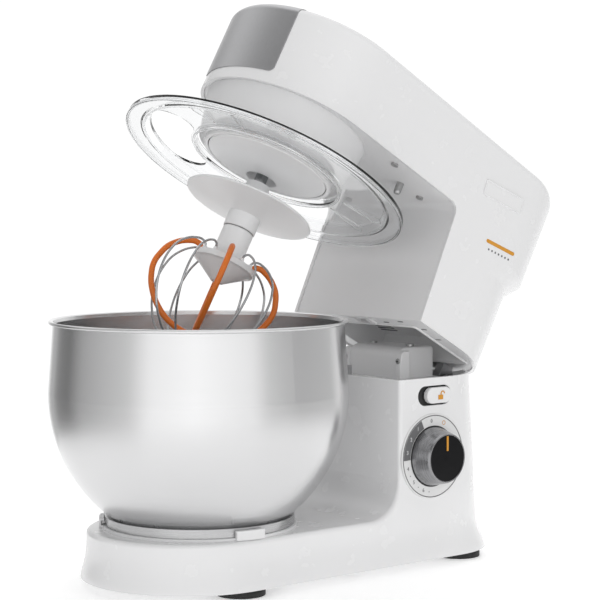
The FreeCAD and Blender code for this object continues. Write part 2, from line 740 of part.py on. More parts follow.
def make_head_underside():
    gap, recess, gauge = 0.12, 1.2, 2.6
    low, neck = num(S.head_low) + recess, num(S.neck_low) + 0.4
    band = side_prism([(-120, low), (129 + recess, low, 6), (137.2 + recess, neck),
                       (137.2 + recess + gauge, neck), (129.3 + recess + gauge, low + gauge, 3),
                       (-120, low + gauge)])
    cover = head_block(num(S.wall) + gap, 100, num(S.head_top) - 10).common(band)
    boss = Part.makeCone(58, 65, low + 0.2 - 213, V(0, 0, 213))
    cover = cover.fuse(boss).cut(Part.makeCylinder(55.4, 60, V(0, 0, 205)))
    for x, y in UNDERSIDE_SCREWS:
        cover = drill(cover, 1.7, 20, V(x, y, low - 5), V(0, 0, 1))
    cover = drill(cover, 3.2, 20, V(40, 96, low - 5), V(0, 0, 1))
    finish_part(shape_feature("head_underside", cover.removeSplitter()), "head_underside", HEAD)
    peg = turned("guard_catch", [(0, -9), (2.2, -9), (3, -7.4), (3, 8), (0, 8)])
    finish_part(peg, "guard_catch", HEAD, at(40, 96, low))



def make_underside_screws():
    screws = []
    level = S.head_low + 1.2
    for index, (x, y) in enumerate(UNDERSIDE_SCREWS):
        head = cylinder("under_screw_head_%d" % index, 3, 1.4, x, y, level - 1.4)
        shank = cylinder("under_screw_shank_%d" % index, 1.45, 9, x, y, level - 0.5)
        screws.append(join("under_screw_%d" % index, [head, shank]))
    finish_part(group_solids("underside_screws", screws), "underside_screws", HEAD)


def make_neck_floor():
    low, gauge = num(S.floor_low), 3.0
    pocket = num(S.pocket_top)
    slab = Part.makeBox(300, 200, gauge, V(-150, 141.2, low))
    floor = head_block(num(S.wall) + 0.15, 100, 200).common(slab)
    lid = Part.makeBox(110.8, 69.8, pocket + 2.4 - low, V(-55.4, 152.1, low))
    floor = floor.fuse(lid).cut(Part.makeBox(106, 65, pocket - low + 10, V(-53, 154.5, low - 10)))
    floor = floor.cut(Part.makeBox(14, 12, 10, V(-7, 138.4, low - 3)))
    roof = pocket + 2.4
    cup = ring_sector(8.02, 11, roof - 0.1, roof + 6, 0, 360)
    cup.translate(V(0, num(S.motor_y), 0))
    floor = floor.fuse(cup)
    for side in (-1, 1):
        for reach in (-26, 26):
            floor = floor.fuse(Part.makeCylinder(3, 202 - roof, V(side * 37, num(S.motor_y) + reach, roof)))
    # latch keeper: a raised frame round the latch window
    keeper = Part.makeBox(24, 10.4, 1.9, V(-12, 141.4, low - 1.8))
    floor = floor.fuse(keeper).cut(Part.makeBox(14, 8, 10, V(-7, 142.4, low - 6)))
    finish_part(shape_feature("neck_floor", floor.removeSplitter()), "neck_floor", HEAD)


def make_badge():
    x = num(S.half_width)
    plate = Part.makeBox(0.7, 46, 13, V(x, 147, 270.5))
    plate = plate.makeFillet(2, edges_at(plate, lambda edge: edge.BoundBox.XLength > 0.5))
    plate.rotate(V(x, 170, 277), V(1, 0, 0), 8)
    finish_part(shape_feature("side_badge", plate), "side_badge", HEAD)


# ---------------------------------------------------------------------------
# Splash guard
# ---------------------------------------------------------------------------
def make_splash_guard():
    """Clear ring round the hub, with a kidney-shaped filler opening at the front left."""
    radius, low = num(S.guard_radius), num(S.guard_low)
    corners = [(59.2, 212.6), (59.2, 207.6), (96, 207.6), (101, low - 1), (radius - 1.6, low - 1),
               (radius - 1.6, low - 3.4), (radius, low - 3.4), (radius, low + 0.8), (102.6, low + 0.8),
               (97.4, 209.6), (61.2, 209.6), (61.2, 212.6)]
    points = [V(r, 0, z) for r, z in corners]
    face = Part.Face(Part.makePolygon(points + [points[0]]))
    guard = face.revolve(V(0, 0, 0), V(0, 0, 1), 360)
    middle, half = 79.5, 17.0
    start, sweep = 197, 46
    kidney = ring_sector(middle - half, middle + half, 200, 216, start, sweep)
    for angle in (start, start + sweep):
        turn = math.radians(angle)
        end = V(middle * math.cos(turn), middle * math.sin(turn), 200)
        kidney = kidney.fuse(Part.makeCylinder(half, 16, end))
    guard = guard.cut(kidney.removeSplitter())
    finish_part(shape_feature("splash_guard", guard), "splash_guard", HEAD)


# ---------------------------------------------------------------------------
# Gears
# ---------------------------------------------------------------------------
def gear_outline(module, teeth, tip, root, slack):
    """Closed wire of an involute gear with a tooth on the X axis."""
    pitch = module * teeth / 2
    pressure = math.radians(20)
    base = pitch * math.cos(pressure)
    half_tooth = math.pi / (2 * teeth) - slack / (2 * pitch)

    def involute(angle):
        return math.tan(angle) - angle

    def flank_angle(radius):
        if radius <= base:
            return half_tooth + involute(pressure)
        return half_tooth + involute(pressure) - involute(math.acos(base / radius))

    low = max(root, base + 0.001)
    radii = [low + (tip - low) * step / 4 for step in range(5)]

    def point(radius, angle):
        return V(radius * math.cos(angle), radius * math.sin(angle), 0)

    edges = []
    step = 2 * math.pi / teeth
    for tooth in range(teeth):
        middle = tooth * step
        rising = [point(r, middle - flank_angle(r)) for r in radii]
        falling = [point(r, middle + flank_angle(r)) for r in reversed(radii)]
        if root < low:
            edges.append(Part.makeLine(point(root, middle - flank_angle(low)), rising[0]))
        curve = Part.BSplineCurve()
        curve.interpolate(rising)
        edges.append(curve.toShape())
        edges.append(Part.Arc(rising[-1], point(tip, middle), falling[0]).toShape())
        curve = Part.BSplineCurve()
        curve.interpolate(falling)
        edges.append(curve.toShape())
        if root < low:
            edges.append(Part.makeLine(falling[-1], point(root, middle + flank_angle(low))))
        end_angle = middle + flank_angle(low)
        next_angle = middle + step - flank_angle(low)
        edges.append(Part.Arc(point(root if root < low else low, end_angle),
                              point(root if root < low else low, (end_angle + next_angle) / 2),
                              point(root if root < low else low, next_angle)).toShape())
    return Part.Wire(edges)


def gear_solid(module, teeth, low, height, bore):
    pitch = module * teeth / 2
    wire = gear_outline(module, teeth, pitch + 0.85 * module, pitch - 1.2 * module, 0.16)
    solid = Part.Face(wire).extrude(V(0, 0, height))
    solid = solid.cut(Part.makeCylinder(bore, height + 2, V(0, 0, -1)))
    solid.translate(V(0, 0, low))
    return solid


def make_gears():
    module = num(S.gear_module)
    main = gear_solid(module, int(num(S.main_gear_teeth)), 256, 8, 5)
    web_cut = ring_sector(14, 38, 260, 265, 0, 360)
    main = main.cut(web_cut)
    finish_part(shape_feature("main_gear", main), "main_gear", HEAD)
    pinion = gear_solid(module, int(num(S.pinion_teeth)), 255.6, 8.8, 4)
    pinion.translate(V(0, num(S.layshaft_y), 0))
    finish_part(shape_feature("pinion", pinion), "pinion", HEAD)
    # fixed internal ring: its tooth spaces are an external outline cut from a disc
    module = num(S.planet_module)
    teeth = int(num(S.ring_gear_teeth))
    pitch = module * teeth / 2
    spaces = gear_outline(module, teeth, pitch + 1.2 * module, pitch - 0.85 * module, -0.16)
    ring = Part.makeCylinder(50, 8, V(0, 0, 226)).cut(
        Part.Face(spaces).extrude(V(0, 0, 12)).translated(V(0, 0, 224)))
    ring.rotate(V(0, 0, 0), V(0, 0, 1), num(S.tool_bearing))
    finish_part(shape_feature("ring_gear", ring), "ring_gear", HEAD)
    planet = gear_solid(module, int(num(S.planet_gear_teeth)), 226.3, 7.4, 4.5)
    planet.rotate(V(0, 0, 0), V(0, 0, 1), num(S.tool_bearing))
    planet.translate(tool_centre())
    finish_part(shape_feature("planet_gear", planet), "planet_gear", HEAD)


def tool_centre(z=0):
    turn = math.radians(num(S.tool_bearing))
    return V(num(S.tool_offset) * math.cos(turn), num(S.tool_offset) * math.sin(turn), z)


# ---------------------------------------------------------------------------
# Drive train
# ---------------------------------------------------------------------------
def make_gearbox():
    housing = turned("gearbox_cup", [(49.2, 212.5), (55.2, 212.5), (55.2, 249.2), (11.02, 249.2),
                                     (11.02, 241), (50, 241), (50, 222), (49.2, 222)])
    posts = [cylinder("deck_post_%d" % index, 2.6, 17, 52 * math.cos(math.radians(turn)),
                      52 * math.sin(math.radians(turn)), 249)
             for index, turn in enumerate((30, 150, 215, 325))]
    finish_part(join("gearbox_housing", [housing] + posts), "gearbox_housing", HEAD)
    sheet_metal = padded("deck_sheet", [(-44, -44), (44, -44), (60, -10), (60, 96), (-60, 96), (-60, -10)], 3)
    bind_place(sheet_metal, 0, 0, 266)
    holes = [cylinder("deck_hole_%d" % index, 11.02, 10, 0, y, 262)
             for index, y in enumerate((0, S.layshaft_y))]
    finish_part(cut("gearbox_deck", sheet_metal, join("deck_holes", holes)), "gearbox_deck", HEAD)
    bearings = []
    places = [(0, 241.4, 11, 5), (0, 265.4, 11, 5), (S.layshaft_y, 265.4, 11, 4), (S.motor_y, 174, 7.9, 4),
              (S.motor_y, 260.2, 7.9, 4)]
    for index, (y, z, outer, shaft) in enumerate(places):
        bearings.append(tube("bearing_%d" % index, outer, shaft + 0.05, 5, 0, y, z))
    finish_part(group_solids("shaft_bearings", bearings), "shaft_bearings", HEAD)


def make_main_drive():
    shaft = cylinder("main_shaft", 5, 59.5, 0, 0, 212)
    finish_part(shaft, "main_shaft", HEAD)
    layshaft = cylinder("layshaft", 4, 34, 0, S.layshaft_y, 252.6)
    finish_part(layshaft, "layshaft", HEAD)
    big = turned("large_pulley", pulley_outline(S.large_pulley_radius, 4))
    finish_part(big, "large_pulley", HEAD, at(0, S.layshaft_y, 273))
    small = turned("motor_pulley", pulley_outline(S.motor_pulley_radius, 4))
    finish_part(small, "motor_pulley", HEAD, at(0, S.motor_y, 273))


def pulley_outline(radius, bore):
    return [(bore, 0), (radius + 1.6, 0), (radius + 1.6, 0.8), (radius, 0.9), (radius, 9.1),
            (radius + 1.6, 9.2), (radius + 1.6, 10), (bore, 10)]


def make_belt():
    """Flat belt round both pulleys: two arcs and two tangent runs."""
    near, far = num(S.layshaft_y), num(S.motor_y)
    gap = num(S.belt_gap)
    big, small = num(S.large_pulley_radius) + gap, num(S.motor_pulley_radius) + gap
    gauge = 1.3

    def loop(grow):
        first, second = big + grow, small + grow
        lean = math.asin((first - second) / (far - near))
        solids = [Part.makeCylinder(first, 8, V(0, near, 274)), Part.makeCylinder(second, 8, V(0, far, 274))]
        corners = []
        for side, radius, middle in ((1, first, near), (1, second, far), (-1, second, far), (-1, first, near)):
            corners.append(V(side * radius * math.cos(lean), middle + radius * math.sin(lean), 274))
        web = Part.Face(Part.makePolygon(corners + [corners[0]])).extrude(V(0, 0, 8))
        return solids[0].fuse([solids[1], web]).removeSplitter()

    belt = loop(gauge).cut(loop(0))
    finish_part(shape_feature("drive_belt", belt), "drive_belt", HEAD)


def make_motor():
    y = num(S.motor_y)
    stack = block("stack_block", 84, 76, 38, 0, S.motor_y, 202)
    bore = cylinder("stack_bore", 23.4, 60, 0, S.motor_y, 190)
    finish_part(cut("motor_stator", stack, bore), "motor_stator", HEAD)
    coils = [tube("coil_%d" % index, 36, 26, height, 0, S.motor_y, z)
             for index, (z, height) in enumerate(((192.2, 9.8), (240, 7.6)))]
    finish_part(group_solids("stator_windings", coils), "stator_windings", HEAD)
    shaft = cylinder("motor_shaft", 4, 110, 0, S.motor_y, 174.3)
    finish_part(shaft, "motor_shaft", HEAD)
    finish_part(tube("armature", 22.6, 4, 36, 0, S.motor_y, 203), "armature", HEAD)
    finish_part(tube("commutator", 12, 4, 7, 0, S.motor_y, 249), "commutator", HEAD)
    brushes = [block("brush_%d" % (side + 1), 18, 9, 5.4, side * 21.6, S.motor_y, 250.2) for side in (-1, 1)]
    finish_part(group_solids("brush_holders", brushes), "brush_holders", HEAD)
    bar = block("bracket_bar", 96, 22, 3, 0, S.motor_y, 257)
    seat = tube("bracket_seat", 11, 7.92, 6, 0, S.motor_y, 259.9)
    posts = [cylinder("bracket_post_%d%d" % (side + 1, reach), 2.5, 17.2,
                      side * 38.5, S.motor_y + reach * 8 - 4, 240)
             for side in (-1, 1) for reach in (0, 1)]
    clear = cylinder("bracket_clear", 5.5, 10, 0, S.motor_y, 253)
    solid = join("bracket_solid", [bar, seat] + posts)
    finish_part(cut("motor_bracket", solid, clear), "motor_bracket", HEAD)
    # fan: a disc with raised blades
    fan = ring_sector(4, 32, 182, 183.5, 0, 360).fuse(ring_sector(4, 9, 182, 190, 0, 360))
    for index in range(9):
        blade = Part.makeBox(20, 1.4, 7, V(10.5, -0.7, 183))
        blade.rotate(V(10.5, 0, 0), V(0, 0, 1), 25)
        blade.rotate(V(0, 0, 0), V(0, 0, 1), 40 * index)
        fan = fan.fuse(blade)
    fan = fan.removeSplitter()
    fan.translate(V(0, y, 0))
    finish_part(shape_feature("cooling_fan", fan), "cooling_fan", HEAD)


# ---------------------------------------------------------------------------
# Planetary hub, tool shaft, dough shield and whisk
# ---------------------------------------------------------------------------
def make_hub():
    low, radius = num(S.hub_low), num(S.hub_radius)
    disc = Part.makeCylinder(radius, 3.5, V(0, 0, low))
    disc = disc.makeFillet(1.2, edges_at(disc, on_height(low)))
    rim = ring_sector(radius - 3, radius, low + 2, 221, 0, 360)
    boss = Part.makeCylinder(13, 221 - low, V(0, 0, low))
    pocket_wall = Part.makeCylinder(16, 221 - low, tool_centre(low)).common(
        Part.makeCylinder(radius, 20, V(0, 0, low)))
    hub = disc.fuse([rim, boss, pocket_wall])
    hub = hub.cut(Part.makeCylinder(5, 30, V(0, 0, 211.9)))
    hub = hub.cut(Part.makeCylinder(13, 9, tool_centre(low - 1)))
    hub = hub.cut(Part.makeCylinder(5.06, 40, tool_centre(low - 5)))
    finish_part(shape_feature("planetary_hub", hub.removeSplitter()), "planetary_hub", HEAD)


def make_tool():
    centre = tool_centre()
    place = at(centre.x, centre.y, 0)
    low = S.sleeve_low
    spindle = turned("tool_spindle", [(0, 141), (4.2, 141), (5, 142), (5, 226), (4.5, 226),
                                      (4.5, 236), (0, 236)])
    pin = cylinder("spindle_pin", 1.6, 18, -9, 0, low - 4, ALONG_X)
    finish_part(join("tool_shaft", [spindle, pin]), "tool_shaft", HEAD, place)
    rim = S.shield_rim
    shield = turned("dough_shield", [(5, low + 0.5), (S.sleeve_radius - 0.5, low + 0.5),
                                     (S.sleeve_radius, low + 1),
                                     (S.sleeve_radius, rim - 8.2), (S.shield_radius - 0.4, rim - 1),
                                     (S.shield_radius, rim), (S.shield_radius - 0.6, rim + 0.7),
                                     (11, rim - 5.4), (9.5, rim + 20), (5, rim + 20)])
    finish_part(shield, "dough_shield", HEAD, place)
    top, neck = S.flange_top, S.whisk_neck_radius
    solid = turned("whisk_hub_solid", [(0, top - 18), (5, top - 18), (S.flange_radius - 2.4, top - 5.6),
                                       (S.flange_radius, top - 4.8), (S.flange_radius, top - 0.4),
                                       (S.flange_radius - 0.8, top), (neck + 0.6, top + 1.6), (neck, top + 3),
                                       (neck, low - 0.5), (neck - 0.6, low), (5.06, low),
                                       (5.06, 140.4), (0, 140.4)])
    keyway = block("whisk_keyway", 19.6, 4, 12, 0, 0, low - 6.4)
    finish_part(cut("whisk_hub", solid, keyway), "whisk_hub", HEAD, place)


def rounded_path(corners):
    """Straight runs joined by tangent arcs, in the XZ plane."""
    points = [V(x, 0, z) for x, z in corners]
    edges = []
    last = points[0]
    for i in range(1, len(points) - 1):
        back, ahead = points[i - 1] - points[i], points[i + 1] - points[i]
        half = back.getAngle(ahead) / 2
        if abs(half - math.pi / 2) < 1e-4:
            continue
        reach = 0.46 * min(back.Length, ahead.Length)
        radius = reach * math.tan(half)
        back.normalize()
        ahead.normalize()
        bisector = back + ahead
        bisector.normalize()
        start, end = points[i] + back * reach, points[i] + ahead * reach
        middle = points[i] + bisector * (radius / math.sin(half) - radius)
        edges.append(Part.makeLine(last, start))
        edges.append(Part.Arc(start, middle, end).toShape())
        last = end
    edges.append(Part.makeLine(last, points[-1]))
    return Part.Wire(edges)


def whisk_half(top, floor):
    """One side of a loop: up out of the flange, over its edge, and down round the belly."""
    return [(21.6, top - 2), (22, top + 4.4), (28, top + 5.6), (37.5, top + 1.5), (46, top - 7),
            (50, top - 20), (50, top - 33), (46.5, top - 47), (38, top - 62), (25, top - 74), (11, floor)]


def swept(corners, radius):
    first, second = V(corners[0][0], 0, corners[0][1]), V(corners[1][0], 0, corners[1][1])
    circle = Part.Wire(Part.makeCircle(radius, first, second - first))
    return rounded_path(corners).makePipeShell([circle], True, False)


def make_whisk_loops():
    """Six loops, thirty degrees apart, whose bottoms pass over each other. Two are silicone covered."""
    top = num(S.flange_top)
    floors = [64.6, 76.9, 74.8, 59.4, 70.6, 68.5]
    lowest = 79.0
    loops = {"steel_loops": [], "silicone_loops": []}
    for index, depth in enumerate(floors):
        covered = index in (0, 3)
        squash = depth / lowest if covered else 1
        half = [(x, top + (z - top) * (squash if z < top - 30 else 1))
                for x, z in whisk_half(top, top - lowest)]
        half[-1] = (half[-1][0], top - depth)
        if covered:
            half[0] = (21.6, top - 1)
        corners = half + [(-x, z) for x, z in reversed(half)]
        solid = swept(corners, 2.3 if covered else 0.9)
        solid.rotate(V(0, 0, 0), V(0, 0, 1), 236 + 30 * index)
        solid.translate(tool_centre())
        loops["silicone_loops" if covered else "steel_loops"].append(solid)
    for name, solids in loops.items():
        finish_part(shape_feature(name, Part.makeCompound(solids)), name, HEAD)


# ---------------------------------------------------------------------------
# Build, check and write
# ---------------------------------------------------------------------------
def build():
    make_base_housing()
    make_base_plate()
    make_feet()
    make_base_screws()
    make_bowl_seat()
    make_cord_grommet()
    make_speed_control()
    make_lock()
    make_hinge()
    make_hinge_cover()
    make_hinge_arm()
    make_bowl()
    make_head_shell()
    make_head_underside()
    make_underside_screws()
    make_neck_floor()
    make_badge()
    make_splash_guard()
    make_gears()
    make_gearbox()
    make_main_drive()
    make_belt()
    make_motor()
    make_hub()
    make_tool()
    make_whisk_loops()
    doc.recompute()


def check_and_write():
    os.makedirs("parts", exist_ok=True)
    for obj in doc.Objects:
        if "Invalid" in obj.State or "Error" in obj.State:
            raise RuntimeError("%s failed: %s" % (obj.Name, obj.State))
    for name, obj in parts:
        if obj.Shape.isNull() or not obj.Shape.isValid() or not obj.Shape.Solids:
            raise RuntimeError("%s has no valid solid" % name)
    box = FreeCAD.BoundBox()
    for name, obj in parts:
        obj.Shape.exportStep("parts/%s.step" % name)
        box.add(obj.Shape.BoundBox)
    print("%d nodes, box x %.2f..%.2f y %.2f..%.2f z %.2f..%.2f" % (
        len(parts), box.XMin, box.XMax, box.YMin, box.YMax, box.ZMin, box.ZMax))


build()
check_and_write()
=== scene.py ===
import bmesh
import bpy
import json
import math
from mathutils import Matrix, Vector


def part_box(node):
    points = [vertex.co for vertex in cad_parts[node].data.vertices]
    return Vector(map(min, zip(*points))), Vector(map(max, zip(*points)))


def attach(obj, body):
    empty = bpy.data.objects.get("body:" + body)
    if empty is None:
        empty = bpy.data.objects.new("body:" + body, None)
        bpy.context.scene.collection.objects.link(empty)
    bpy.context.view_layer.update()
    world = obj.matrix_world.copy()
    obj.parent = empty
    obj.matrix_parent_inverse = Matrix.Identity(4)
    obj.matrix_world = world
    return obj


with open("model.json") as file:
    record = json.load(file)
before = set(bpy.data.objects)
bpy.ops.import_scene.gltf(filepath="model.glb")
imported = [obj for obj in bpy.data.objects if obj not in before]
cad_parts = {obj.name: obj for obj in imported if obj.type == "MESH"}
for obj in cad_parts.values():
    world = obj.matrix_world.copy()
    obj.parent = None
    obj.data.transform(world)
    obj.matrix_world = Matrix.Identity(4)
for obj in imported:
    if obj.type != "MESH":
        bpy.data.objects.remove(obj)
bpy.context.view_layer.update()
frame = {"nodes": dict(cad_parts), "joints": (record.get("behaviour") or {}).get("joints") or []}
NODES = frame["nodes"]


# ---------------------------------------------------------------------------
# Materials: every one has its own colour variation, roughness variation and grain
# ---------------------------------------------------------------------------
class Shader:
    """A Principled material with helpers that add procedural detail to it."""

    def __init__(self, name, colour, rough, metallic=0.0, **sockets):
        self.material = bpy.data.materials.new(name)
        self.material.use_nodes = True
        self.tree = self.material.node_tree
        self.principled = self.tree.nodes["Principled BSDF"]
        self.colour = (*colour, 1.0)
        self.rough = rough
        self.principled.inputs["Base Color"].default_value = self.colour
        self.principled.inputs["Roughness"].default_value = rough
        self.principled.inputs["Metallic"].default_value = metallic
        for socket, value in sockets.items():
            self.principled.inputs[socket.replace("_", " ")].default_value = value
        self.coords = self.tree.nodes.new("ShaderNodeTexCoord")

    def link(self, out, into):
        self.tree.links.new(out, into)

    def node(self, kind, **values):
        made = self.tree.nodes.new(kind)
        for key, value in values.items():
            if key in made.inputs:
                made.inputs[key].default_value = value
            else:
                setattr(made, key, value)
        return made

    def noise(self, scale, detail=3.0, stretch=(1, 1, 1)):
        mapping = self.node("ShaderNodeMapping", Scale=stretch)
        self.link(self.coords.outputs["Object"], mapping.inputs["Vector"])
        noise = self.node("ShaderNodeTexNoise", Scale=scale, Detail=detail)
        self.link(mapping.outputs["Vector"], noise.inputs["Vector"])
        return noise.outputs["Fac"]

    def vary_colour(self, factor, amount):
        """Shade the base colour down by up to amount where factor is low."""
        mix = self.node("ShaderNodeMix", data_type="RGBA")
        low = [channel * (1 - amount) for channel in self.colour[:3]] + [1.0]
        mix.inputs[6].default_value = low
        mix.inputs[7].default_value = self.colour
        self.link(factor, mix.inputs[0])
        self.link(mix.outputs[2], self.principled.inputs["Base Color"])

    def vary_rough(self, factor, spread):
        ranged = self.node("ShaderNodeMapRange")
        ranged.inputs["From Min"].default_value = 0.3
        ranged.inputs["From Max"].default_value = 0.7
        ranged.inputs["To Min"].default_value = max(0.01, self.rough - spread)
        ranged.inputs["To Max"].default_value = self.rough + spread
        self.link(factor, ranged.inputs["Value"])
        self.link(ranged.outputs["Result"], self.principled.inputs["Roughness"])

    def bump(self, height, strength, distance, soft_edges=True):
        """Fine relief, on top of softly rounded edges unless the surface is one broad curve."""
        bump = self.node("ShaderNodeBump", Strength=strength, Distance=distance)
        self.link(height, bump.inputs["Height"])
        if soft_edges:
            self.link(self.rounded.outputs["Normal"], bump.inputs["Normal"])
        self.link(bump.outputs["Normal"], self.principled.inputs["Normal"])

    def edge_mask(self, reach):
        """1 along worn edges and 0 on open faces: how far the rounded normal leans from the true one."""
        self.rounded = self.node("ShaderNodeBevel", samples=4)
        self.rounded.inputs["Radius"].default_value = reach
        geometry = self.node("ShaderNodeNewGeometry")
        dot = self.node("ShaderNodeVectorMath", operation="DOT_PRODUCT")
        self.link(self.rounded.outputs["Normal"], dot.inputs[0])
        self.link(geometry.outputs["Normal"], dot.inputs[1])
        mask = self.node("ShaderNodeMapRange")
        mask.inputs["From Min"].default_value = 0.96
        mask.inputs["From Max"].default_value = 0.72
        self.link(dot.outputs["Value"], mask.inputs["Value"])
        return mask.outputs["Result"]

    def wear(self, reach, tint):
        """Rub the colour along edges toward tint, broken up by noise."""
        broken = self.node("ShaderNodeMath", operation="MULTIPLY")
        self.link(self.edge_mask(reach), broken.inputs[0])
        self.link(self.noise(180.0, 4.0), broken.inputs[1])
        mix = self.node("ShaderNodeMix", data_type="RGBA")
        mix.inputs[7].default_value = (*tint, 1.0)
        worn = self.principled.inputs["Base Color"].links[0].from_socket
        self.link(broken.outputs["Value"], mix.inputs[0])
        self.link(worn, mix.inputs[6])
        self.link(mix.outputs[2], self.principled.inputs["Base Color"])


def plastic(name, colour, rough=0.3, grain=1500.0, depth=0.08, tint=0.015, spread=0.04, edge=0.0006,
            soft_edges=True, **sockets):
    """Moulded plastic: faint cloudiness in colour, patchy gloss, fine mould grain, rubbed edges."""
    shader = Shader(name, colour, rough, **sockets)
    shader.vary_colour(shader.noise(22.0), tint)
    shader.vary_rough(shader.noise(60.0, 4.0), spread)
    shader.wear(edge, [channel * 0.86 for channel in colour])
    shader.bump(shader.noise(grain, 2.0), depth, 0.0002, soft_edges)
    return shader.material


def metal(name, colour, rough, stretch, grain=900.0, depth=0.06, tint=0.08, spread=0.06, edge=0.0004,
          **sockets):
    """Metal with drawn or turned grain: noise stretched along the lay, brighter worn edges."""
    shader = Shader(name, colour, rough, 1.0, **sockets)
    lines = shader.noise(grain, 2.0, stretch)
    shader.vary_colour(shader.noise(grain * 0.4, 3.0, stretch), tint)
    shader.vary_rough(lines, spread)
    shader.wear(edge, [min(1.0, channel * 1.15) for channel in colour])
    shader.bump(lines, depth, 0.0001)
    return shader.material


def spun_steel(name, colour, rough):
    """Spun and polished sheet: reflections stretch up and down, across the turning marks."""
    shader = Shader(name, colour, rough, 1.0, Anisotropic=0.85, Anisotropic_Rotation=0.25)
    tangent = shader.node("ShaderNodeTangent", direction_type="RADIAL", axis="Z")
    shader.link(tangent.outputs["Tangent"], shader.principled.inputs["Tangent"])
    lines = shader.noise(700.0, 2.0, (0.02, 0.02, 1))
    shader.vary_colour(shader.noise(14.0, 4.0), 0.06)
    shader.vary_rough(lines, 0.012)
    shader.wear(0.0004, [min(1.0, channel * 1.1) for channel in colour])
    shader.bump(lines, 0.006, 0.0001, False)
    return shader.material


WHITE = plastic("white_gloss", (0.85, 0.85, 0.855), 0.26, depth=0.04, tint=0.01, spread=0.02,
                soft_edges=False, Coat_Weight=0.25, Coat_Roughness=0.1)
WHITE_MATT = plastic("white_matt", (0.83, 0.83, 0.835), 0.42, grain=2600.0, depth=0.14)
HUB_GREY = plastic("hub_grey", (0.90, 0.90, 0.905), 0.35)
TOOL_WHITE = plastic("tool_white", (0.88, 0.885, 0.89), 0.34, Coat_Weight=0.2, Coat_Roughness=0.2)
SILVER = metal("silver_lacquer", (0.50, 0.50, 0.51), 0.34, (1, 1, 0.06), 1400.0)
DIAL_WHITE = plastic("dial_white", (0.80, 0.80, 0.80), 0.3, grain=2200.0)
BOWL_STEEL = spun_steel("bowl_steel", (0.74, 0.74, 0.745), 0.25)
RING_STEEL = metal("ring_steel", (0.52, 0.52, 0.525), 0.28, (0.02, 0.02, 1), 900.0)
WIRE = metal("wire_steel", (0.46, 0.47, 0.48), 0.2, (1, 1, 0.2), 1200.0)
SCREW = metal("screw_zinc", (0.50, 0.50, 0.50), 0.35, (1, 1, 1), 2000.0)
INNER_STEEL = metal("inner_steel", (0.48, 0.48, 0.49), 0.38, (1, 0.1, 1), 800.0)
ORANGE = plastic("orange_silicone", (0.87, 0.20, 0.018), 0.42, grain=2400.0, depth=0.1, tint=0.12)
KNOB_SKIRT = metal("knob_skirt", (0.36, 0.36, 0.37), 0.26, (1, 0.01, 0.01), 1800.0, tint=0.15)
BRIGHT_RIM = metal("bright_rim", (0.72, 0.72, 0.73), 0.16, (1, 0.02, 0.02), 1500.0)
BLACK = plastic("gloss_black", (0.008, 0.008, 0.009), 0.22, tint=0.2, Specular_IOR_Level=0.15)
# Dark moulded plastic, also used as painted shade in the latch window, the gap round the knob and the screw
# recesses
DARK_AND_SHADE = plastic("dark_moulded_and_shade", (0.02, 0.02, 0.021), 0.5, tint=0.2)
# Grey print ink, also used as painted shade in the slits and louvres under the neck
PRINT_AND_SHADE_GREY = plastic("print_and_shade_grey", (0.16, 0.16, 0.165), 0.4, tint=0.1)
RUBBER = plastic("black_rubber", (0.018, 0.018, 0.018), 0.65, grain=2000.0, depth=0.25, tint=0.2)
GOLD_INK = plastic("orange_ink", (0.70, 0.31, 0.025), 0.4)
NYLON = plastic("natural_nylon", (0.78, 0.76, 0.66), 0.45)
GREEN = plastic("green_board", (0.03, 0.16, 0.07), 0.35, tint=0.2)
COPPER = metal("copper", (0.72, 0.34, 0.18), 0.3, (1, 1, 0.05), 2200.0)


def clear_plastic(name):
    """Clear moulded sheet: fine flow waviness and a trace of haze."""
    shader = Shader(name, (0.98, 0.985, 0.99), 0.03, Transmission_Weight=1.0, IOR=1.42)
    shader.vary_rough(shader.noise(40.0), 0.02)
    shader.vary_colour(shader.noise(30.0), 0.02)
    shader.wear(0.0003, (0.9, 0.91, 0.92))
    shader.bump(shader.noise(35.0, 2.0), 0.05, 0.0006)
    return shader.material


CLEAR = clear_plastic("clear_guard")

NODE_FINISH = {
    WHITE: ["base_housing", "head_shell", "lock_slider", "side_badge"],
    WHITE_MATT: ["head_underside", "neck_floor", "hinge_cover", "base_plate", "bowl_seat", "gearbox_housing"],
    HUB_GREY: ["planetary_hub"],
    TOOL_WHITE: ["dough_shield", "whisk_hub"],
    SILVER: ["front_panel"],
    DIAL_WHITE: ["dial_ring"],
    BOWL_STEEL: ["bowl"],
    RING_STEEL: ["bowl_foot_ring"],
    CLEAR: ["splash_guard"],
    WIRE: ["steel_loops", "tool_shaft", "hinge_pin"],
    SCREW: ["base_screws", "underside_screws", "cover_screws", "guard_catch"],
    INNER_STEEL: ["latch_hook", "hinge_bracket", "hinge_arm", "motor_bracket", "gearbox_deck", "tilt_spring",
                  "switch_shaft", "ring_gear", "pinion", "motor_pulley", "layshaft", "main_shaft",
                  "motor_shaft", "shaft_bearings", "motor_stator", "armature"],
    ORANGE: ["silicone_loops"],
    KNOB_SKIRT: ["speed_knob"],
    BLACK: ["knob_face"],
    DARK_AND_SHADE: ["slider_track", "rotary_switch", "latch_guide", "brush_holders", "cooling_fan", "drive_belt"],
    RUBBER: ["rubber_feet", "cord_grommet"],
    GOLD_INK: ["lock_icon", "knob_pointer"],
    NYLON: ["main_gear", "planet_gear", "large_pulley"],
    GREEN: ["control_board"],
    COPPER: ["stator_windings", "commutator"],
}
for material, names in NODE_FINISH.items():
    for name in names:
        NODES[name].data.materials.clear()
        NODES[name].data.materials.append(material)


